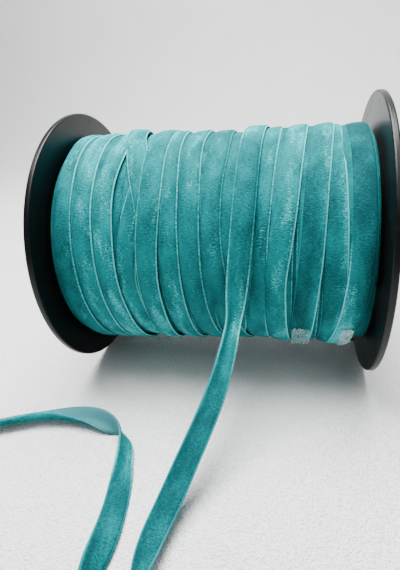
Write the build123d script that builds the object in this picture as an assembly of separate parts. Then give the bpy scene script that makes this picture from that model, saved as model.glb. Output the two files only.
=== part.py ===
"""Ribbon spool: two moulded flanges on a card core, wound with narrow velvet ribbon.

Millimetres, +Z up. The spool lies on the rims of its flanges, as it rolls on a table.
X runs along the spool's axis, -Y is the side that the loose ribbon leaves from, and the
origin is on the table under the middle of the spool.
"""

import math
import os

from build123d import *

# Ribbon
RIBBON_WIDTH = 10.0
RIBBON_THICKNESS = 1.1  # ground weave and pile together

# Flanges
FLANGE_DIAMETER = 135.0
RIM_THICKNESS = 3.0
RIM_WIDTH = 4.0
WEB_THICKNESS = 1.8
RIM_ROUND = 0.9
RIB_COUNT = 8
RIB_WIDTH = 2.0

# Core and hub
INNER_WIDTH = 146.0
CORE_DIAMETER = 52.0
CORE_WALL = 2.5
SPIGOT_LENGTH = 14.0
SPIGOT_WALL = 2.0
SPIGOT_FIT = 0.1
ARBOR_BORE = 22.0
HUB_WALL = 3.0
HUB_RIB_COUNT = 6

# Winding
PACK_DIAMETER = 108.6
LEFT_GAP = 1.5  # between the winding and the left flange
RIGHT_GAP = 2.2
WINDING_FIT = 0.1

# Tapes
START_TAPE_THICKNESS = 0.2
START_TAPE_WIDTH = 18.0
START_TAPE_ANGLE = 80.0
PATCH_THICKNESS = 0.4
PATCH_FIT = 0.1
PATCHES = {  # name: (middle along X, width along X, first and last angle below the front)
    "left_tape_patch": (42.0, 13.0, 26.0, 62.0),
    "right_tape_patch": (60.5, 10.0, 24.0, 58.0),
}

# Loose ribbon
TAIL_CLEARANCE = 0.4  # between the winding and the loose turn that lies over it
STEP_ANGLE = 30.0
STRIP_STEP = 4.0
BEND_SHARE = 0.45

FLANGE_RADIUS = FLANGE_DIAMETER / 2
AXIS_HEIGHT = FLANGE_RADIUS
CORE_RADIUS = CORE_DIAMETER / 2
CORE_INNER_RADIUS = CORE_RADIUS - CORE_WALL
PACK_RADIUS = PACK_DIAMETER / 2
BORE_RADIUS = ARBOR_BORE / 2
TAIL_RADIUS = PACK_RADIUS + TAIL_CLEARANCE + RIBBON_THICKNESS / 2

ACROSS = (1, 0, 0)  # the ribbon's width lies along the spool's axis
BACK_ACROSS = (-1, 0, 0)
ON_EDGE = (0, 0, 1)


def over_winding(x, angle):
    """A corner of the route over the winding, at an angle above the front."""
    corner_radius = TAIL_RADIUS / math.cos(math.radians(STEP_ANGLE / 2))
    turn = math.radians(angle)
    return (x, -corner_radius * math.cos(turn), AXIS_HEIGHT + corner_radius * math.sin(turn))


def on_winding(x, angle):
    """A point of the route that lies on the winding itself, where the loose turn begins."""
    turn = math.radians(angle)
    return (x, -TAIL_RADIUS * math.cos(turn), AXIS_HEIGHT + TAIL_RADIUS * math.sin(turn))


# The loose ribbon's route: each point with the direction that the ribbon's width takes there.
TAIL_ROUTE = [
    (on_winding(21.6, 135), ACROSS),
    (over_winding(21.0, 120), ACROSS),
    (over_winding(19.6, 90), ACROSS),
    (over_winding(18.8, 60), ACROSS),
    (over_winding(17.9, 30), ACROSS),
    (over_winding(15.2, 0), ACROSS),
    ((13.0, -57.8, 50.4), ACROSS),
    ((11.6, -71.5, 38.8), ACROSS),
    ((7.3, -86.5, 28.4), ACROSS),
    ((0.6, -103.5, 17.6), ACROSS),
    ((-5.2, -119.0, 8.6), (1, 0, 0.25)),
    ((-9.2, -134.5, 4.6), (1, 0, 0.9)),
    ((-7.0, -152.1, 5.4), ON_EDGE),
    ((-12.9, -158.0, 5.3), ON_EDGE),
    ((-21.1, -158.0, 5.3), ON_EDGE),
    ((-27.0, -152.1, 5.6), ON_EDGE),
    ((-25.4, -135.0, 4.2), (-1, 0, 0.5)),
    ((-28.0, -116.0, 0.9), BACK_ACROSS),
    ((-31.0, -99.5, 1.6), BACK_ACROSS),
    ((-37.0, -84.5, 5.7), (-0.3, 0, 1)),
    ((-48.5, -78.5, 5.2), (0, 0.45, 1)),
    ((-64.0, -78.0, 4.5), (0, 0.8, 1)),
    ((-81.0, -80.0, 4.4), (0, 0.9, 1)),
    ((-98.0, -85.5, 4.4), (0, 0.9, 1)),
    ((-116.0, -94.0, 4.4), (0, 0.9, 1)),
]


def lift(shape):
    """Raise a shape made about the X axis to the height of the spool's axis."""
    return Pos(0, 0, AXIS_HEIGHT) * shape


def turned(points):
    """A solid of revolution about the X axis, from a closed outline of (x, radius) points."""
    return revolve(make_face(Polyline(*points, close=True)), Axis.X)


def radial_ribs(count, inner, outer, start, end):
    """Ribs between two radii and two places along X, evenly spaced about the axis."""
    align = (Align.MIN, Align.CENTER, Align.MIN)
    rib = Pos(start, 0, inner) * Box(end - start, RIB_WIDTH, outer - inner, align=align)
    return [Rot(360 * k / count, 0, 0) * rib for k in range(count)]


def make_flange():
    """The right flange, in one moulding: web, rim, outer ribs, hub and the spigot for the core."""
    face = INNER_WIDTH / 2
    outside = face + RIM_THICKNESS
    web = face + WEB_THICKNESS
    tip = face - SPIGOT_LENGTH
    hub = BORE_RADIUS + HUB_WALL
    spigot = CORE_INNER_RADIUS - SPIGOT_FIT
    spigot_inside = spigot - SPIGOT_WALL
    rim_inside = FLANGE_RADIUS - RIM_WIDTH
    flange = turned([
        (tip, BORE_RADIUS), (outside, BORE_RADIUS), (outside, hub), (web, hub),
        (web, rim_inside), (outside, rim_inside), (outside, FLANGE_RADIUS),
        (face, FLANGE_RADIUS), (face, spigot), (tip, spigot),
        (tip, spigot_inside), (face, spigot_inside), (face, hub), (tip, hub),
    ])
    edge = [e for e in flange.edges().filter_by(GeomType.CIRCLE) if e.radius > FLANGE_RADIUS - 0.01]
    flange = fillet(edge, RIM_ROUND)
    mid_web = face + WEB_THICKNESS / 2
    for rib in radial_ribs(RIB_COUNT, hub - HUB_WALL / 2, rim_inside + RIM_WIDTH / 2, mid_web, outside):
        flange += rib
    for rib in radial_ribs(HUB_RIB_COUNT, hub - HUB_WALL / 2, spigot_inside + SPIGOT_WALL / 2,
                           tip, mid_web):
        flange += rib
    return lift(flange)


def make_tube(outer, inner, start, end):
    """A plain round tube along the spool's axis."""
    return lift(turned([(start, inner), (end, inner), (end, outer), (start, outer)]))


def make_tape(inner, thickness, middle, width, first, last):
    """A short piece of tape that follows a round surface, between two angles above the front."""
    start, end = middle - width / 2, middle + width / 2
    outline = [(start, inner), (end, inner), (end, inner + thickness), (start, inner + thickness)]
    # the outline stands on +Y, which is 180 degrees above the front as the angles are counted
    tape = revolve(make_face(Polyline(*outline, close=True)), Axis.X, last - first)
    return lift(Rot(180 - last, 0, 0) * tape)


def bend_radii(points):
    """The arc at each corner of a route: 0.45 of the shorter run over the tangent of half the turn."""
    radii = []
    for before, corner, after in zip(points, points[1:], points[2:]):
        one, two = Vector(*corner) - Vector(*before), Vector(*after) - Vector(*corner)
        half_turn = math.radians(one.get_angle(two) / 2)
        radii.append(BEND_SHARE * min(one.length, two.length) / math.tan(half_turn))
    return radii


def width_direction(along, share):
    """The ribbon's width direction at a share of the route, square to its line."""
    lengths = [0.0]
    points = [Vector(*point) for point, _ in TAIL_ROUTE]
    for one, two in zip(points, points[1:]):
        lengths.append(lengths[-1] + (two - one).length)
    place = share * lengths[-1]
    k = max(i for i in range(len(points) - 1) if lengths[i] <= place)
    part = (place - lengths[k]) / (lengths[k + 1] - lengths[k])
    mixed = Vector(*TAIL_ROUTE[k][1]).normalized() * (1 - part)
    mixed += Vector(*TAIL_ROUTE[k + 1][1]).normalized() * part
    return (mixed - along * mixed.dot(along)).normalized()


def make_tail():
    """The loose ribbon: a flat strip along straight runs joined by tangent arcs."""
    points = [point for point, _ in TAIL_ROUTE]
    radii = bend_radii(points)
    line = FilletPolyline(*points, radius=radii).wires()[0]
    count = round(line.length / STRIP_STEP)
    sections = []
    for k in range(count + 1):
        share = k / count
        middle, along = line.position_at(share), line.tangent_at(share)
        across = width_direction(along, share)
        half_width = across * (RIBBON_WIDTH / 2)
        half_depth = along.cross(across) * (RIBBON_THICKNESS / 2)
        corners = [middle + half_width + half_depth, middle - half_width + half_depth,
                   middle - half_width - half_depth, middle + half_width - half_depth]
        sections.append(Wire.make_polygon(corners, close=True))
    strip = Solid.make_loft(sections, ruled=True)
    print("tail bends, mm:", [round(radius, 1) for radius in radii])
    print(f"tail length {line.length:.1f} mm, volume {strip.volume:.0f} mm3,"
          f" section x length {RIBBON_WIDTH * RIBBON_THICKNESS * line.length:.0f} mm3,"
          f" lowest point {strip.bounding_box().min.Z:.2f} mm")
    return strip


def main():
    right_flange = make_flange()
    left_flange = mirror(right_flange, Plane.YZ)
    tape_radius = CORE_RADIUS + WINDING_FIT
    pack_inner = tape_radius + START_TAPE_THICKNESS + WINDING_FIT
    half = INNER_WIDTH / 2
    parts = {
        "left_flange": left_flange,
        "right_flange": right_flange,
        "core_tube": make_tube(CORE_RADIUS, CORE_INNER_RADIUS, -half, half),
        "start_tape": make_tape(tape_radius, START_TAPE_THICKNESS, RIBBON_WIDTH - half,
                                START_TAPE_WIDTH, 0, START_TAPE_ANGLE),
        "ribbon_pack": make_tube(PACK_RADIUS, pack_inner, LEFT_GAP - half, half - RIGHT_GAP),
        "ribbon_tail": make_tail(),
    }
    for name, (middle, width, first, last) in PATCHES.items():
        parts[name] = make_tape(PACK_RADIUS + PATCH_FIT, PATCH_THICKNESS, middle, width, -last, -first)
    os.makedirs("parts", exist_ok=True)
    for name, part in parts.items():
        export_step(part, f"parts/{name}.step")


main()
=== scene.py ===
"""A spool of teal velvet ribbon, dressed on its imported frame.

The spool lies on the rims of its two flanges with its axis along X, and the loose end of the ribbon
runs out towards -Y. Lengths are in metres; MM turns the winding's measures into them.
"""

import math

import bpy
import numpy as np
from mathutils import Matrix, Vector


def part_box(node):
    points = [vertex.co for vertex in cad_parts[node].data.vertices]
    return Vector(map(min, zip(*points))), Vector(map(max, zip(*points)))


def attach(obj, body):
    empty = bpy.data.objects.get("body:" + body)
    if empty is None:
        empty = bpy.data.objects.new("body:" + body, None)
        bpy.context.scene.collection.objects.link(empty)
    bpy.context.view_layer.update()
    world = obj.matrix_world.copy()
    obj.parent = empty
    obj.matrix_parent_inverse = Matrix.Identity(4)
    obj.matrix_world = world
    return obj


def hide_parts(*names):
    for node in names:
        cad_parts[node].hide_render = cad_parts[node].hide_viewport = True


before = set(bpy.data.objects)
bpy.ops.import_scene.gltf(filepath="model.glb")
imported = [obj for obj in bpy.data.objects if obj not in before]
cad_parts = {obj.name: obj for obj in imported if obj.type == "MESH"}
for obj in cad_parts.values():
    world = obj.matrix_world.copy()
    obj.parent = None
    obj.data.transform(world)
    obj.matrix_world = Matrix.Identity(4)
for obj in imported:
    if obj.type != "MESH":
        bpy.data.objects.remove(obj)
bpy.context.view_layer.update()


# --- Flanges ------------------------------------------------------------------------------------
# Two injection-moulded discs of black polystyrene, each in one piece with the hub that plugs into
# the card core. The mould leaves them satin, and handling rubs faint grey scuffs into them.

class Tone:
    """One output among a finish's nodes. Arithmetic written with it adds Math nodes."""

    def __init__(self, finish, socket):
        self.finish = finish
        self.socket = socket

    def _maths(self, operation, first, second):
        return self.finish.node("ShaderNodeMath", {"operation": operation}, {0: first, 1: second})

    def __add__(self, other):
        return self._maths("ADD", self, other)

    def __sub__(self, other):
        return self._maths("SUBTRACT", self, other)

    def __rsub__(self, other):
        return self._maths("SUBTRACT", other, self)

    def __mul__(self, other):
        return self._maths("MULTIPLY", self, other)

    def __abs__(self):
        return self._maths("ABSOLUTE", self, 0.0)

    __radd__ = __add__
    __rmul__ = __mul__

    def rise(self, low, high):
        """0 up to low, 1 from high, and a soft step between them."""
        settings = {"interpolation_type": "SMOOTHSTEP"}
        return self.finish.node(
            "ShaderNodeMapRange", settings, {"Value": self, "From Min": low, "From Max": high}
        )


class Finish:
    """A procedural material: a Principled shader and the nodes that feed it."""

    def __init__(self, name, constants):
        self.material = bpy.data.materials.new(name)
        self.material.use_nodes = True
        self.tree = self.material.node_tree
        self.shader = self.tree.nodes["Principled BSDF"]
        self.feed(self.shader, constants)

    def feed(self, node, sockets):
        for key, value in sockets.items():
            if isinstance(value, Tone):
                self.tree.links.new(value.socket, node.inputs[key])
            else:
                node.inputs[key].default_value = value

    def node(self, kind, settings, sockets, out=0):
        """Adds a node, sets it, then joins or sets its sockets, and gives one of its outputs."""
        node = self.tree.nodes.new(kind)
        for key, value in settings.items():
            setattr(node, key, value)
        self.feed(node, sockets)
        return Tone(self, node.outputs[out])

    def grain(self, place, scale, detail=3.0, rough=0.55):
        """Noise with grains about 1 / scale metres across."""
        sockets = {"Vector": place, "Scale": scale, "Detail": detail, "Roughness": rough}
        return self.node("ShaderNodeTexNoise", {}, sockets, "Fac")

    def dyed(self, share, first, second):
        """The first colour where share is 0, and the second where it is 1. A Mix node's colours are
        its inputs 6 and 7 and its output 2."""
        return self.node("ShaderNodeMix", {"data_type": "RGBA"}, {0: share, 6: first, 7: second}, 2)

    def relief(self, height, depth):
        """A surface normal raised by height, from 0 to 1, times depth in metres."""
        return self.node("ShaderNodeBump", {}, {"Height": height, "Distance": depth}, "Normal")


def dye(red, green, blue):
    """A linear colour from a swatch's 0 to 255 readings."""
    shares = [max(c, 0) / 255 for c in (red, green, blue)]
    return (*[s / 12.92 if s <= 0.04045 else ((s + 0.055) / 1.055) ** 2.4 for s in shares], 1.0)


def moulded_black():
    black = Finish("moulded_black", {"Specular IOR Level": 0.18})
    place = black.node("ShaderNodeTexCoord", {}, {}, "Object")
    mottle = black.grain(place, 60)
    grain = black.grain(place, 2600, detail=2.0)
    scuff = black.grain(place, 240, detail=6.0, rough=0.7).rise(0.58, 0.72)
    colour = black.dyed(mottle * 0.6 + scuff * 0.4, dye(4, 5, 6), dye(15, 16, 18))
    normal = black.relief(grain * 0.8 + scuff * 0.2, 0.00006)
    sockets = {"Base Color": colour, "Roughness": 0.26 + mottle * 0.14 + scuff * 0.14, "Normal": normal}
    black.feed(black.shader, sockets)
    return black.material


def wear(node_name, material):
    """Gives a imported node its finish."""
    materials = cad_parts[node_name].data.materials
    materials.clear()
    materials.append(material)


black = moulded_black()
wear("left_flange", black)
wear("right_flange", black)


# --- Core tube ----------------------------------------------------------------------------------
# A parallel-wound tube of grey-brown card, cut square. The ribbon is wound on it, and the flanges'
# hubs hold it from inside, so only its bore and its cut ends ever show.

def plain_card():
    card = Finish("plain_card", {"Specular IOR Level": 0.25})
    place = card.node("ShaderNodeTexCoord", {}, {}, "Object")
    stretched = card.node("ShaderNodeMapping", {}, {"Vector": place, "Scale": (0.25, 1.0, 1.0)})
    fibre = card.grain(stretched, 1500, detail=5.0)
    cloud = card.grain(place, 90)
    colour = card.dyed(fibre * 0.6 + cloud * 0.4, dye(126, 103, 76), dye(178, 154, 122))
    normal = card.relief(fibre, 0.00008)
    sockets = {"Base Color": colour, "Roughness": 0.8 + fibre * 0.15, "Normal": normal}
    card.feed(card.shader, sockets)
    return card.material


wear("core_tube", plain_card())


# --- Start tape ---------------------------------------------------------------------------------
# A short piece of clear adhesive tape that holds the ribbon's inner end down on the card tube. It
# is polypropylene film, glossy, a little hazy, with trapped air under it.

def clear_film(name, haze, crazing):
    """Film that is seen by its haze and, where it is creased or has air under it, by crazing."""
    film = Finish(name, {"Specular IOR Level": 0.6, "IOR": 1.5})
    place = film.node("ShaderNodeTexCoord", {}, {}, "Object")
    creases = film.node(
        "ShaderNodeTexVoronoi", {"feature": "DISTANCE_TO_EDGE"}, {"Vector": place, "Scale": 620.0}
    )
    crease = 1 - creases.rise(0.0, 0.13)
    cloud = film.grain(place, 420, detail=5.0)
    white = film.dyed(cloud, dye(130, 200, 202), dye(214, 240, 240))
    sockets = {
        "Base Color": white,
        "Roughness": 0.16 + cloud * 0.25,
        "Alpha": haze + crease * crazing + cloud * 0.22,
        "Normal": film.relief(crease * 0.6 + cloud * 0.4, 0.0004),
    }
    film.feed(film.shader, sockets)
    return film.material


wear("start_tape", clear_film("clear_film", 0.18, 0.35))


# --- Wound ribbon -------------------------------------------------------------------------------
# Some 92 m of 10 mm single-face velvet: a cut pile on one side, two thin woven selvedges, and a dull
# plain back. It is wound by machine in slanting turns that lap over each other and now and then
# cross, so each turn of the last layer has its own lay, its right selvedge riding on its neighbour.

MM = 0.001
AXIS_HEIGHT = sum(corner[2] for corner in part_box("left_flange")) / 2
RIBBON_HALF = 5.0 * MM
RIBBON_THICK = 1.1 * MM

# The ribbon's section in millimetres: across, and up from its back. The pile gives way to the woven
# selvedge between the two places below.
PILE_HALF = (
    (0.00, 1.10), (1.20, 1.10), (2.40, 1.08), (3.50, 1.04), (4.10, 0.92), (4.38, 0.66), (4.48, 0.38),
    (5.00, 0.34),
)
PILE_SIDE = (*[(-x, z) for x, z in PILE_HALF[:0:-1]], *PILE_HALF)
BACK_SIDE = tuple((x, 0.0) for x in (5.0, 3.4, 1.7, 0.0, -1.7, -3.4, -5.0))
PILE_END = 4.32 * MM
SELVEDGE_START = 4.55 * MM

# Where across the ribbon the three values are set that say how its pile lies.
LAID_PLACES = (-4.3 * MM, 0.0, 4.3 * MM)

# Each half curls between these distances from the middle.
CURL_FROM = 0.6 * MM
CURL_TO = 3.0 * MM
CURL_STEPS = 160


def running(points):
    """The unit way of travel at each of a row of points."""
    steps = np.gradient(points, axis=0)
    return steps / np.linalg.norm(steps, axis=1)[:, None]


def squared(across, travel):
    """Ways across, turned square to the travel and made one long."""
    across = across - travel * (across * travel).sum(1)[:, None]
    return across / np.linalg.norm(across, axis=1)[:, None]


class Strip:
    """A length of ribbon. points is the middle of its back, across points to its right selvedge, and
    rolls says how far its left and right halves curl, in radians, up towards the pile. start is how
    far along the whole ribbon it begins, and the last says how pale its pile is at the left, middle
    and right: partly crushing of the pile, and partly painted light, sheen and shade painted into it."""

    def __init__(self, points, across, rolls, start, frost_and_light):
        self.points = points
        travel = running(points)
        self.across = squared(across, travel)
        self.pile = np.cross(travel, self.across)
        self.rolls = np.broadcast_to(rolls, (len(points), 2))
        steps = np.linalg.norm(np.diff(points, axis=0), axis=1)
        self.along = start + np.concatenate([[0.0], np.cumsum(steps)])
        self.frost_and_light = np.broadcast_to(frost_and_light, (len(points), 3))


def bent_section(rolls, places, heights):
    """Where a section's points go, sideways and upwards, when its halves curl."""
    fine = np.linspace(-RIBBON_HALF, RIBBON_HALF, CURL_STEPS + 1)
    share = np.clip((np.abs(fine) - CURL_FROM) / (CURL_TO - CURL_FROM), 0, 1)
    lean = np.where(fine < 0, -rolls[:, :1], rolls[:, 1:]) * share
    step = fine[1] - fine[0]
    sideways = np.cumsum(np.cos(lean), axis=1) * step
    upwards = np.cumsum(np.sin(lean), axis=1) * step
    middle = [CURL_STEPS // 2]
    sideways = sideways - sideways[:, middle]
    upwards = upwards - upwards[:, middle]
    rows = range(len(rolls))
    at = [np.interp(places, fine, values[i]) for values in (sideways, upwards, lean) for i in rows]
    across, up, tilt = np.asarray(at).reshape(3, len(rolls), len(places))
    return across - np.sin(tilt) * heights, up + np.cos(tilt) * heights


def new_piece(name, points, faces, material):
    mesh = bpy.data.meshes.new(name)
    mesh.from_pydata(np.reshape(points, (-1, 3)).tolist(), [], faces)
    mesh.materials.append(material)
    piece = bpy.data.objects.new(name, mesh)
    bpy.context.scene.collection.objects.link(piece)
    return piece


def mark_lay(piece, lay, frost_and_light):
    """Marks each point with its place on the ribbon, and with its paleness, from crushing and painted
    light, for the velvet.
    """
    marks = piece.data.attributes
    marks.new("lay", "FLOAT_VECTOR", "POINT").data.foreach_set("vector", np.concatenate(lay).ravel())
    marks.new("frost_and_light", "FLOAT", "POINT").data.foreach_set("value", np.concatenate(frost_and_light))
    piece.data.shade_smooth()


def ribbon_piece(name, strips, material):
    section = np.array(PILE_SIDE + BACK_SIDE) * MM
    count = len(section)
    side = np.array([1.0] * len(PILE_SIDE) + [-1.0] * len(BACK_SIDE))
    points, faces, lay, frost_and_light = [], [], [], []
    first = 0
    for strip in strips:
        rings = len(strip.points)
        sideways, upwards = bent_section(strip.rolls, section[:, 0], section[:, 1])
        body = strip.points[:, None] + strip.across[:, None] * sideways[..., None]
        points.append((body + strip.pile[:, None] * upwards[..., None]).reshape(-1, 3))
        whole = (rings, count)
        along = np.broadcast_to(strip.along[:, None], whole)
        across = np.broadcast_to(section[:, 0], whole)
        lay.append(np.stack([along, across, np.broadcast_to(side, whole)], -1).reshape(-1, 3))
        frost_and_light += [np.interp(section[:, 0], LAID_PLACES, ring) for ring in strip.frost_and_light]
        for ring in range(rings - 1):
            here = first + ring * count
            for i in range(count):
                j = (i + 1) % count
                faces.append((here + i, here + j, here + count + j, here + count + i))
        last = first + (rings - 1) * count
        faces.append(tuple(range(first + count - 1, first - 1, -1)))
        faces.append(tuple(range(last, last + count)))
        first += rings * count
    piece = new_piece(name, np.concatenate(points), faces, material)
    mark_lay(piece, lay, frost_and_light)
    return piece


def velvet():
    pile = Finish(
        "teal_velvet",
        {
            "Specular IOR Level": 0.12,
            "Sheen Weight": 0.08,
            "Sheen Roughness": 0.32,
            "Sheen Tint": dye(60, 225, 228),
        },
    )
    lay = pile.node("ShaderNodeAttribute", {"attribute_name": "lay"}, {}, "Vector")
    along, across, side = [
        pile.node("ShaderNodeSeparateXYZ", {}, {"Vector": lay}, axis) for axis in "XYZ"
    ]
    # How pale the pile lies: partly crushing of the pile, and partly painted light, paler on top of the
    # winding where sheen falls and deeper in the shade at its front. It drives the pale patches, the
    # deep colour and the selvedges below.
    frost_and_light = pile.node("ShaderNodeAttribute", {"attribute_name": "frost_and_light"}, {}, "Fac")

    def streaks(per_along, per_across, detail, rough=0.55):
        """Noise on the ribbon, with so many grains to a metre along and across it."""
        sockets = {"X": along * per_along, "Y": across * per_across, "Z": side}
        return pile.grain(pile.node("ShaderNodeCombineXYZ", {}, sockets), 1.0, detail, rough)

    patch = streaks(75.0, 190.0, detail=3.0)
    stroke = streaks(1500.0, 620.0, detail=2.0, rough=0.65)
    speck = streaks(2200.0, 1200.0, detail=1.0)
    shade = streaks(70.0, 110.0, detail=3.0)

    tuft = stroke * 0.55 + speck * 0.45
    lean = patch * 2.4 + frost_and_light * 0.5
    crushed_and_lit = (tuft * 1.6 + lean - 2.12).rise(0.0, 1.0)
    depth = tuft * 1.3 + shade + frost_and_light * 0.2 - 0.65
    deep = pile.dyed(depth.rise(0.0, 1.0), dye(0, 56, 60), dye(0, 122, 124))
    pale = pile.dyed(tuft.rise(0.4, 0.7), dye(10, 144, 148), dye(84, 198, 200))
    nap = pile.dyed(crushed_and_lit, deep, pale)

    selvedge = abs(across).rise(PILE_END, SELVEDGE_START)
    thread = streaks(1300.0, 700.0, detail=3.0)
    # The selvedges pale and deepen with the same painted light.
    woven = pile.dyed((thread + frost_and_light * 0.3).rise(0.2, 0.8), dye(0, 108, 112), dye(88, 202, 205))
    face = pile.dyed(selvedge, nap, woven)
    dull = pile.dyed(thread * 0.7 + patch * 0.3, dye(28, 92, 97), dye(70, 126, 131))
    upside = side.rise(-0.2, 0.2)
    height = tuft * 0.8 + crushed_and_lit * 0.2
    sockets = {
        "Base Color": pile.dyed(upside, dull, face),
        "Roughness": 0.92 - selvedge * 0.3,
        "Normal": pile.relief(height, 0.00045),
    }
    pile.feed(pile.shader, sockets)
    return pile.material


def eased(keys, values, at):
    """A smooth curve through the values set at keys, read at other places."""
    keys = np.asarray(keys, float)
    values = np.asarray(values, float)
    slopes = np.gradient(values, keys)
    i = np.clip(np.searchsorted(keys, at, "right") - 1, 0, len(keys) - 2)
    span = keys[i + 1] - keys[i]
    u = (at - keys[i]) / span
    start = values[i] * (1 + 2 * u) + slopes[i] * span * u
    end = values[i + 1] * (3 - 2 * u) - slopes[i + 1] * span * (1 - u)
    return start * (1 - u) ** 2 + end * u * u


def around(across, radius, degrees):
    """Points round the axis, from across and radius, at degrees above the front."""
    turn = np.radians(degrees)
    return np.stack([across, -radius * np.cos(turn), AXIS_HEIGHT + radius * np.sin(turn)], -1)


def outwards(degrees):
    """The unit way out from the axis at degrees above the front."""
    turn = np.radians(degrees)
    return np.stack([0 * turn, -np.cos(turn), np.sin(turn)], -1)


# How full the pack is wound at places along it, in millimetres: most at the left, and least right of
# the middle.
SWELL_PLACES = np.array((-72, -38, 4, 8, 26, 34, 50, 62, 72)) * MM
SWELLS = np.array((2.2, 2.2, 0.6, 0.0, 0.0, 0.8, 0.8, 0.3, 0.2)) * MM


def swell(x):
    return np.interp(x, SWELL_PLACES, SWELLS)


# How a turn lies: its left selvedge is on the bed, its right one rides higher by the tilt, and both
# halves bow down by the crown. Its selvedges wander in waves, so many to a turn. It starts somewhere
# on the outer stretch of the ribbon, so that no two turns have the same specks.
LAP_HALF = 4.85 * MM
TURN_BED = 52.6 * MM
TURN_TILT = 0.8 * MM
CROWN = (-0.16, -0.10)
RING_STEP = 3
WANDER_WAVES = (5, 9, 16)
EDGE_WANDER = 0.35 * MM
LIFT_WANDER = 0.30 * MM
OUTER_STRETCH = 40.0


def ring_degrees(keys):
    """The degrees of a turn's rings, from its last key back to its first."""
    return np.arange(keys[-1], keys[0] - RING_STEP / 2, -RING_STEP)


def lapped(keys, edges, left_lift=0, right_lift=0, bed=TURN_BED, tilt=TURN_TILT, rolls=CROWN, frost_and_light=0):
    """A strip on the winding, by the places of its right selvedge at keys, in degrees above the front.
    Lifts raise its selvedges above the bed, and they and the edges are in millimetres."""
    degrees = ring_degrees(keys)
    edge = eased(keys, edges, degrees) * MM
    bed = bed + swell(edge)
    left = bed + eased(keys, np.broadcast_to(left_lift, len(keys)), degrees) * MM
    right = bed + tilt + eased(keys, np.broadcast_to(right_lift, len(keys)), degrees) * MM
    wander = np.random.default_rng(abs(int(edges[0] * 10)))
    for waves in WANDER_WAVES:
        turns = np.radians(degrees * waves + wander.uniform(0, 360))
        edge = edge + np.sin(turns) * EDGE_WANDER / waves
        right = right + np.cos(turns) * LIFT_WANDER / waves
    middle = around(edge - LAP_HALF, (left + right) / 2, degrees)
    slope = (right - left) / (2 * LAP_HALF)
    across = np.array([1.0, 0.0, 0.0]) + outwards(degrees) * slope[:, None]
    return Strip(middle, across, rolls, wander.uniform(0, OUTER_STRETCH), frost_and_light)


# The turns of the last layer, numbered from the left, at these degrees above the front. First comes
# where the right selvedge of each lies, in millimetres along the axis, then how far its left and right
# selvedges are lifted. A turn ends underneath, at 300 degrees, where a neighbour begins, at -60.
LAY_ANGLES = (-60, -20, 0, 20, 45, 65, 90, 300)
RIGHT_EDGES = {
    1: (-58.2, -58.7, -59.6, -60.1, -60.9, -62.1, -63.6, -62.3),
    2: (-46.9, -48.3, -49.2, -49.8, -50.7, -51.2, -51.9, -58.2),
    3: (-37.0, -38.4, -39.5, -40.0, -40.4, -38.8, -38.6, -46.9),
    4: (-26.6, -30.0, -31.4, -28.9, -24.2, -22.0, -24.3, -37.0),
    5: (-20.6, -20.3, -20.6, -19.4, -18.3, -18.8, -19.4, -26.6),
    6: (-7.5, -9.3, -10.2, -10.5, -11.2, -12.7, -14.1, -20.6),
    7: (5.0, 0.8, -0.4, -1.1, -1.5, -2.6, -2.7, -7.5),
    8: (18.6, 12.6, 10.3, 8.2, 8.1, 9.2, 8.8, 5.0),
    9: (13.5, 18.0, 21.1, 22.6, 22.4, 20.8, 19.6, 18.6),
    10: (26.6, 26.6, 27.3, 28.0, 29.7, 30.8, 31.8, 37.3),
    11: (37.3, 35.5, 35.5, 38.0, 40.6, 42.1, 43.6, 45.2),
    12: (45.2, 47.8, 49.2, 50.4, 51.9, 53.5, 55.2, 59.3),
    13: (59.3, 60.1, 59.9, 59.4, 58.6, 57.9, 58.3, 63.3),
    14: (63.3, 67.8, 69.5, 70.1, 70.2, 70.0, 69.6, 69.0),
}
LEFT_LIFTS = {
    3: (0, 0, 0, 0, 0, 0, 0, -0.9),
    4: (-1.3, -1.3, -1.2, -0.9, -0.7, -0.5, -0.2, 0),
    5: (0, 0, 0.4, 1.8, 2.2, 2.2, 1.3, -1.3),
    8: (0, 0, 0, 0, 0.3, 0.6, 0.7, 0.2),
    9: (-1.2, -1.0, -0.4, -0.3, -0.4, -0.8, -1.1, 0),
    10: (-1.2, -1.2, -1.2, -1.2, -0.8, -0.6, -0.6, -0.4),
    11: (-0.4, -0.4, -0.4, -0.3, -0.1, 0, 0, 0),
    12: (0, 0.2, 0.4, 0.4, 0.3, 0.2, 0.2, 0),
    13: (0, 0, 0, 0, -0.4, -1.0, -1.0, 1.6),
    14: (1.6, 1.7, 1.4, 0.6, 0.2, 0.2, 0, -1.0),
}
RIGHT_LIFTS = {
    3: (0, 0, 0, 0, 0, 0, 0, -0.9),
    4: (-1.6, -1.6, -1.6, -1.6, -1.6, -1.5, -0.9, 0),
    5: (0, 0, 0, 0.3, 0.6, 0.6, 0.4, -1.6),
    8: (0, 0, 0, 0, 0, 0.2, 0.2, 0),
    9: (-1.4, -1.2, -0.4, -0.3, -0.4, -0.8, -1.1, 0),
    10: (-0.2, -0.2, -0.2, -0.2, -0.1, 0, 0, 0),
    12: (0, 0, 0.1, 0.1, 0.2, 0.3, 0.3, 0),
    13: (0, -0.6, -0.4, -0.3, -0.4, -0.6, -0.6, 0),
}
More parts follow.
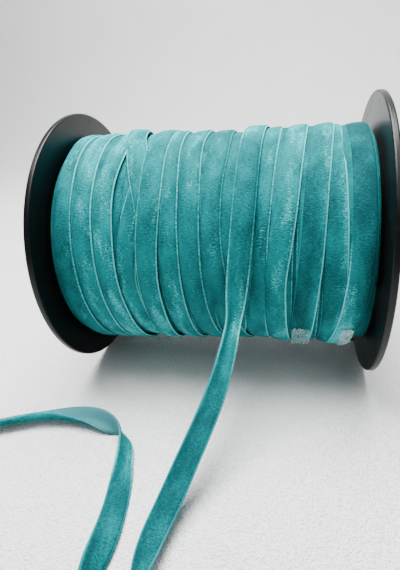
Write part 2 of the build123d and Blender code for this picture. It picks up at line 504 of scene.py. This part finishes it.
# How pale the pile is at the left, middle and right of each turn: first at the top, then at the
# front, then low down. Partly it is crushing of the pile, and partly painted light: painted sheen
# makes most turns paler at the top, painted shade makes them deeper at the front, and they are
# painted paler again low down, where the floor throws light back.
TURN_FROST_AND_LIGHT = {
    1: ((0.9, 1.0, 0.8), (-1.0, -0.8, -0.4), (-0.6, 0.0, 0.0)),
    2: ((0.9, 1.3, 1.0), (-0.4, 0.2, 0.0), (0.3, 1.0, 0.5)),
    3: ((0.9, 1.3, 1.0), (-0.4, 0.4, 0.1), (0.4, 1.2, 0.7)),
    4: ((0.6, 0.8, 0.6), (-0.3, -0.3, -0.3), (0.5, 1.2, 0.7)),
    5: ((0.2, 0.7, 0.8), (-0.6, -0.4, 0.0), (0.4, 1.3, 0.7)),
    6: ((0.3, 0.9, 0.5), (-0.6, -0.2, -0.3), (0.1, 1.1, 0.4)),
    7: ((0.2, 0.8, 0.3), (-0.6, -0.1, -0.4), (-0.6, 0.3, 0.0)),
    8: ((0.0, 0.4, -0.3), (-0.8, -0.1, -0.6), (-0.3, 0.4, 0.0)),
    9: ((0.2, 0.5, 0.3), (-0.3, -0.2, 0.0), (0.0, 0.2, 0.2)),
    10: ((0.3, 0.6, 0.5), (-0.8, -0.7, -0.2), (-0.4, 0.1, 0.4)),
    11: ((0.5, 0.9, 1.0), (-0.5, 0.4, 0.5), (-0.3, 0.6, 0.9)),
    12: ((0.2, 0.6, 0.8), (-1.5, -1.4, 0.5), (-1.2, -1.0, 1.0)),
    13: ((-0.4, 0.2, 0.4), (-1.0, -1.0, 1.1), (-0.6, 0.1, 0.9)),
    14: ((-1.6, -1.2, -1.5), (-1.6, -1.8, -1.8), (2.2, 1.6, -0.8)),
}
FROST_AND_LIGHT_DEGREES = (-30, 32, 86)


def frost_and_light_round(keys, levels):
    """How pale the pile is at the left, middle and right of each ring of a turn, partly from crushing
    and partly from painted light. Behind, it is as at the top, and underneath as it is low down."""
    degrees = ring_degrees(keys)
    places = np.where(degrees > 180, FROST_AND_LIGHT_DEGREES[0], degrees)
    return np.stack([np.interp(places, FROST_AND_LIGHT_DEGREES, side) for side in zip(*reversed(levels))], -1)


# How far the first turn's left half turns down over the end of the pack, at the same degrees.
END_CURL = (0.2, 0.3, 0.3, 0.4, 0.8, 1.3, 1.7, 0.3)


def outer_turns():
    degrees = ring_degrees(LAY_ANGLES)
    for turn, edges in RIGHT_EDGES.items():
        rolls = np.tile(CROWN, (len(degrees), 1))
        if turn == 1:
            rolls[:, 0] = -eased(LAY_ANGLES, END_CURL, degrees)
        yield lapped(
            LAY_ANGLES, edges, LEFT_LIFTS.get(turn, 0), RIGHT_LIFTS.get(turn, 0),
            rolls=rolls, frost_and_light=frost_and_light_round(LAY_ANGLES, TURN_FROST_AND_LIGHT[turn]),
        )


def crossing_turn():
    """The turn that crosses others: over them behind and at the top, and under them at the front."""
    keys = (14, 29, 40, 48, 59, 68, 77, 90, 120, 180, 240, 270, 300)
    edges = (-15.6, -18.9, -21.6, -23.9, -26.8, -29.2, -32.0, -34.8, -39.6, -45.4, -48.0, -48.0, -47.4)
    left = (-0.9, 0.7, 0.9, 1.0, 1.1, 1.3, 1.6, 2.1, 2.0, 1.6, 1.2, 0.5, 0.0)
    right = (-2.1, -1.2, -0.7, -0.5, -0.4, -0.1, 0.2, 0.6, 0.9, 0.8, 0.5, 0.2, 0.0)
    return lapped(keys, edges, left, right, frost_and_light=frost_and_light_round(keys, TURN_FROST_AND_LIGHT[4]))


def seam_turn():
    """The wound part of the turn whose loose end leaves the spool. The loose part lies on its end."""
    keys = (112, 150, 200, 260, 300)
    edges = (26.2, 26.8, 26.9, 26.7, 26.6)
    left = (0.85, 0.85, 0.5, -0.4, -1.2)
    right = (0.05, 0.05, 0.0, -0.1, -0.2)
    return lapped(keys, edges, left, right, frost_and_light=0.2)


# The layer below, which shows only where the last one gapes: where each turn's right selvedge lies,
# how far the turn is lifted, and how far it sways, in millimetres. The last lies straight by the flange.
UNDER_TURNS = (
    (-57.6, 0.0, 0.5), (-45.0, 0.0, 0.5), (-36.8, -1.2, 0.5), (-8.2, 0.0, 0.5), (3.2, 0.0, 0.5),
    (14.3, 0.0, 0.5), (26.0, 0.0, 0.5), (37.8, 0.0, 0.5), (49.5, 0.0, 0.5), (64.0, 0.0, 0.0),
)
UNDER_BED = 51.9 * MM
UNDER_TILT = 0.1 * MM


def under_turns():
    for edge, lift, sway in UNDER_TURNS:
        edges = [edge + sway * math.sin(math.radians(a) + edge) for a in LAY_ANGLES]
        edges[-1] = edges[0]
        yield lapped(LAY_ANGLES, edges, lift, lift, bed=UNDER_BED, tilt=UNDER_TILT, frost_and_light=-0.3)


VELVET = velvet()
strips = [*outer_turns(), crossing_turn(), seam_turn(), *under_turns()]
wound = ribbon_piece("wound_ribbon", strips, VELVET)
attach(wound, "spool")
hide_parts("ribbon_pack")


# --- Wound body ---------------------------------------------------------------------------------
# The layers under the last two. Little of them can be seen, in the gaps of the last ones and past
# their ends, so they are turned as one body, with a groove between each layer and the next.

BODY_RADIUS = 51.1 * MM
BODY_BORE = 26.4 * MM
BODY_SEGMENTS = 96
END_GAP = 0.5 * MM
END_GROOVE = 0.4 * MM
COLUMN_STEP = 4.2 * MM
COLUMNS = np.arange(-17, 18)


def wound_body():
    """A lathe's outline: up the left end layer by layer, over the top in columns and down the right.
    Across the top its lay swings to and fro inside one ribbon's width, so that no selvedge shows."""
    low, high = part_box("ribbon_pack")
    layers = int((BODY_RADIUS - BODY_BORE) / RIBBON_THICK)
    left_end = []
    for layer in range(layers):
        radius = BODY_BORE + layer * RIBBON_THICK
        crest = low[0] + END_GAP
        left_end += [(crest + END_GROOVE, radius), (crest, radius + RIBBON_THICK / 2)]
    top = [(column, BODY_RADIUS + swell(column)) for column in COLUMNS * COLUMN_STEP]
    right_end = [(low[0] + high[0] - x, radius) for x, radius in reversed(left_end)]
    x, radius = np.array(left_end + top + right_end).T
    count = len(x)
    ends = np.full(len(left_end), RIBBON_HALF)
    across = np.concatenate([ends, np.sin(COLUMNS * math.pi / 2) * COLUMN_STEP, ends])
    points, lay = [], []
    for i in range(BODY_SEGMENTS):
        degrees = 360 * i / BODY_SEGMENTS
        points.append(around(x, radius, np.full(count, degrees)))
        lay.append(np.stack([math.radians(degrees) * radius, across, np.ones(count)], -1))
    faces = []
    for i in range(BODY_SEGMENTS):
        here = i * count
        there = (i + 1) % BODY_SEGMENTS * count
        for k in range(count):
            after = (k + 1) % count
            faces.append((here + k, there + k, there + after, here + after))
    piece = new_piece("wound_body", points, faces, VELVET)
    mark_lay(piece, lay, [np.zeros(BODY_SEGMENTS * count)])
    return piece


body = wound_body()
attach(body, "spool")


# --- Tape patches -------------------------------------------------------------------------------
# Two scraps of the same clear tape, stuck over the last layer low on the front, where they hold down
# turns that would spring. They were pressed on by thumb, so they are crumpled and torn, not flat.

TAPE_COLUMNS = 34
TAPE_ROWS = 30
TAPE_BED = 54.75 * MM
FILM_THICK = 0.07 * MM
CREASES = 7
CREASE_HEIGHT = 1.1 * MM
MEAN_CREASE = 0.6
SIDE_TEAR = 1.6 * MM

# In degrees round the winding: where a patch begins, how far down it runs, and how its ends are torn.
TAPE_TOP = -27
TAPE_DROP = 33
END_TEAR = 4


def crumple(u, v, seed):
    """Sharp-edged creases over a unit square, from 0 to 1."""
    wander = np.random.default_rng(seed)
    height = np.zeros_like(u)
    for _ in range(CREASES):
        heading, offset = wander.uniform(0, math.pi), wander.uniform(0, 2 * math.pi)
        waves = wander.uniform(4, 11)
        height += np.abs(np.sin(waves * (u * math.cos(heading) + v * math.sin(heading)) + offset))
    return height / CREASES


def tape_patch(name, node, left, right, ragged, seed, film):
    """A scrap of film with both its faces. ragged is the share of its width that its low end lacks."""
    u, v = np.meshgrid(np.linspace(0, 1, TAPE_COLUMNS), np.linspace(0, 1, TAPE_ROWS))
    side_tear = (crumple(v * 2.2, u * 0, seed + 1) - MEAN_CREASE) * SIDE_TEAR
    end_tear = (crumple(u * 2.5, v * 0, seed + 2) - MEAN_CREASE) * END_TEAR
    x = left + (right - left) * u * (1 - ragged * v) + side_tear
    degrees = TAPE_TOP - TAPE_DROP * v + end_tear
    radius = TAPE_BED + swell(x) + crumple(u, v, seed) * CREASE_HEIGHT
    skin = [around(x, radius, degrees), around(x, radius + FILM_THICK, degrees)]
    count = TAPE_COLUMNS * TAPE_ROWS
    faces = []
    for row in range(TAPE_ROWS - 1):
        for column in range(TAPE_COLUMNS - 1):
            a = row * TAPE_COLUMNS + column
            quad = (a, a + 1, a + TAPE_COLUMNS + 1, a + TAPE_COLUMNS)
            faces += [quad, tuple(i + count for i in reversed(quad))]
    piece = new_piece(name, skin, faces, film)
    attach(piece, "spool")
    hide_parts(node)


thin = clear_film("thin_film", -0.06, 0.4)
tape_patch("left_tape", "left_tape_patch", 37.7 * MM, 46.0 * MM, 0.1, 3, thin)

doubled = clear_film("doubled_film", 0.3, 0.35)
tape_patch("right_tape", "right_tape_patch", 59.4 * MM, 65.0 * MM, 0.45, 8, doubled)


# --- Loose ribbon -------------------------------------------------------------------------------
# The outer end of the same ribbon, pulled off the spool. It leaves the winding at the front, falls to
# the floor, runs forward, turns back and folds over to the left, where its dull back shows. It curls
# lengthwise as it leaves the winding and at the folds.

# The route's points stand 30 degrees apart round the winding, and the line through them cuts their
# corners, so all but the first stand out beyond the radius that it follows.
WINDING_RADIUS = 55.25 * MM
CORNER_RADIUS = WINDING_RADIUS / math.cos(math.radians(15))
RIGHTWARDS = (1, 0, 0)


def on_winding(x, degrees, radius=WINDING_RADIUS):
    turn = math.radians(degrees)
    return (x, -radius * math.cos(turn), AXIS_HEIGHT + radius * math.sin(turn))


def over_winding(x, degrees):
    return on_winding(x, degrees, CORNER_RADIUS)


# Each row is a point of the route in metres, the way to the right selvedge, the curl of the left and
# right halves, and how pale the pile is. That is partly crushing, and partly painted light: a painted
# highlight on top of the winding and at the fold where the ribbon leaves it, and painted shade, deeper,
# along the loose end on the floor. Across the ribbon it is a little less so at the selvedges.
ROUTE = (
    (on_winding(0.0216, 135), RIGHTWARDS, (0.0, 0.0), 0.0),
    (over_winding(0.0210, 120), RIGHTWARDS, (0.0, 0.0), 0.3),
    (over_winding(0.0196, 90), RIGHTWARDS, (0.0, 0.0), 1.2),
    (over_winding(0.0188, 60), RIGHTWARDS, (0.0, 0.0), -0.4),
    (over_winding(0.0179, 30), RIGHTWARDS, (0.0, 0.0), -0.4),
    (over_winding(0.0152, 0), RIGHTWARDS, (0.4, 0.3), 0.1),
    ((0.0130, -0.0578, 0.0504), RIGHTWARDS, (1.2, 0.9), 0.9),
    ((0.0116, -0.0715, 0.0388), RIGHTWARDS, (0.7, 0.9), -0.4),
    ((0.0073, -0.0865, 0.0284), RIGHTWARDS, (0.5, 0.5), -1.2),
    ((0.0006, -0.1035, 0.0176), RIGHTWARDS, (0.3, 0.3), -1.5),
    ((-0.0052, -0.1190, 0.0086), (1, 0, 0.05), (0.1, 0.1), -1.3),
    ((-0.0092, -0.1345, 0.0046), (1, 0, 0.2), (0.6, 0.2), -1.2),
    ((-0.0070, -0.1521, 0.0054), (0.2, 0, 1), (0.2, 0.2), -0.8),
    ((-0.0129, -0.1580, 0.0053), (0, 0, 1), (0.0, 0.0), -0.8),
    ((-0.0211, -0.1580, 0.0053), (0, 0, 1), (0.0, 0.0), -0.8),
    ((-0.0270, -0.1521, 0.0056), (0, 0, 1), (0.2, 0.2), -0.8),
    ((-0.0254, -0.1350, 0.0042), (-1, 0, 0.5), (0.2, 0.2), -0.9),
    ((-0.0280, -0.1160, 0.0009), (-1, 0, 0.04), (0.2, 0.1), -1.3),
    ((-0.0310, -0.0995, 0.0016), (-0.65, 0, 0.6), (1.3, 0.3), 0.0),
    ((-0.0370, -0.0845, 0.0057), (-0.1, 0, 1), (0.5, 0.2), 0.0),
    ((-0.0485, -0.0785, 0.0052), (0, 0.45, 1), (-1.2, 0.1), 0.0),
    ((-0.0640, -0.0780, 0.0045), (0, 0.9, 0.6), (-2.1, 0.3), -0.3),
    ((-0.0810, -0.0800, 0.0044), (0, 1, 0.35), (-3.0, 0.8), -0.3),
    ((-0.0980, -0.0855, 0.0044), (0, 1, 0.3), (-2.3, 0.9), -0.3),
    ((-0.1160, -0.0940, 0.0044), (0, 1, 0.3), (-2.9, 1.0), -0.3),
)
CRUSH_ACROSS = (-0.3, 0.1, -0.3)
LOOSE_START = 57.2


def line_through(points):
    """The points of a smooth NURBS line whose control points these are."""
    curve = bpy.data.curves.new("route", "CURVE")
    curve.dimensions = "3D"
    spline = curve.splines.new("NURBS")
    spline.points.add(len(points) - 1)
    for place, point in zip(spline.points, points):
        place.co = (*point, 1.0)
    spline.order_u = 3
    spline.use_endpoint_u = True
    spline.resolution_u = 10
    holder = bpy.data.objects.new("route", curve)
    bpy.context.scene.collection.objects.link(holder)
    bpy.context.view_layer.update()
    mesh = bpy.data.meshes.new_from_object(holder)
    line = np.array([v.co for v in mesh.vertices], float)
    bpy.data.objects.remove(holder)
    bpy.data.curves.remove(curve)
    bpy.data.meshes.remove(mesh)
    return line


def along_route(values, count):
    """Values set at the route's points, eased to count places along its line."""
    spans = len(values) - 2
    keys = [0.0, *[i - 0.5 for i in range(1, len(values) - 1)], float(spans)]
    return eased(keys, values, np.linspace(0, spans, count))


route_points = [np.array(row[0]) for row in ROUTE]
to_selvedge = [np.array(row[1], float) / np.linalg.norm(row[1]) for row in ROUTE]
line = line_through(route_points)
edge_line = line_through([p + w * RIBBON_HALF for p, w in zip(route_points, to_selvedge)])
rolls = np.stack([along_route([row[2][k] for row in ROUTE], len(line)) for k in (0, 1)], -1)
# The pile's paleness along the route, with the painted highlight and shade that it carries.
crush_and_light = along_route([row[3] for row in ROUTE], len(line))[:, None] + np.array(CRUSH_ACROSS)
travel = running(line)
across = squared(edge_line - line, travel)
back = line - np.cross(travel, across) * RIBBON_THICK / 2
loose = ribbon_piece("loose_ribbon", [Strip(back, across, rolls, LOOSE_START, crush_and_light)], VELVET)
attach(loose, "loose_ribbon")
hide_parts("ribbon_tail")


# --- Floor and light ----------------------------------------------------------------------------
# A pale pebbled work surface that runs up into a white wall, under one broad soft light straight above
# and a weak one above the front, with a little white light all round.

def pale_floor():
    floor = Finish("pale_floor", {"Specular IOR Level": 0.3})
    place = floor.node("ShaderNodeTexCoord", {}, {}, "Object")
    pebble = floor.grain(place, 1000, detail=1.5)
    cloud = floor.grain(place, 12)
    colour = floor.dyed(cloud * 0.6 + pebble * 0.4, dye(224, 225, 225), dye(240, 241, 241))
    normal = floor.relief(pebble, 0.0020)
    sockets = {"Base Color": colour, "Roughness": 0.55 + pebble * 0.2, "Normal": normal}
    floor.feed(floor.shader, sockets)
    return floor.material


FLOOR_FRONT = -0.9
FLOOR_BACK = 0.55
SWEEP_RADIUS = 0.25
WALL_TOP = 1.2
SURFACE_HALF = 1.6


def work_surface():
    """The floor, a quarter round behind it, and the wall."""
    outline = [(FLOOR_FRONT, 0.0)]
    for degrees in range(0, 91, 10):
        turn = math.radians(degrees)
        outline.append((FLOOR_BACK + SWEEP_RADIUS * math.sin(turn), SWEEP_RADIUS * (1 - math.cos(turn))))
    outline.append((FLOOR_BACK + SWEEP_RADIUS, WALL_TOP))
    points = [(x, y, z) for y, z in outline for x in (-SURFACE_HALF, SURFACE_HALF)]
    faces = [(2 * i, 2 * i + 1, 2 * i + 3, 2 * i + 2) for i in range(len(outline) - 1)]
    surface = new_piece("work_surface", points, faces, pale_floor())
    surface.data.shade_smooth()
    return surface


work_surface()


def soft_light(name, place, target, size, power):
    """A rectangular lamp that faces its target."""
    light = bpy.data.lights.new(name, "AREA")
    light.shape = "RECTANGLE"
    light.size, light.size_y = size
    light.energy = power
    lamp = bpy.data.objects.new(name, light)
    lamp.location = place
    aim = np.array(target, float) - np.array(place, float)
    lamp.rotation_euler = (
        math.atan2(math.hypot(aim[0], aim[1]), -aim[2]), 0, math.atan2(aim[1], aim[0]) - math.pi / 2
    )
    bpy.context.scene.collection.objects.link(lamp)


soft_light("overhead", (-0.08, 0.06, 0.85), (0, 0, 0.04), (0.75, 0.5), 38.0)
soft_light("front_fill", (0.20, -0.50, 0.95), (0, 0, 0.05), (0.8, 0.5), 3.6)

world = bpy.data.worlds.new("white_room")
bpy.context.scene.world = world
world.use_nodes = True
world.node_tree.nodes["Background"].inputs["Color"].default_value = (0.97, 0.99, 1.0, 1.0)
world.node_tree.nodes["Background"].inputs["Strength"].default_value = 0.12


# --- Camera -------------------------------------------------------------------------------------
# A wide lens held close above the front edge, a little right of the middle and slightly tilted.

CAMERA_PLACE = (0.03907, -0.21264, 0.14913)
YAW, PITCH, ROLL = (math.radians(a) for a in (14.406, -27.022, 5.623))

view = bpy.data.cameras.new("camera")
view.lens = 26.43
view.sensor_width = 36
view.clip_start = 0.01
camera = bpy.data.objects.new("camera", view)
turned = Matrix.Rotation(YAW, 4, "Z") @ Matrix.Rotation(PITCH, 4, "X") @ Matrix.Rotation(ROLL, 4, "Y")
camera.matrix_world = Matrix.Translation(CAMERA_PLACE) @ turned @ Matrix.Rotation(math.pi / 2, 4, "X")
bpy.context.scene.collection.objects.link(camera)
bpy.context.scene.camera = camera
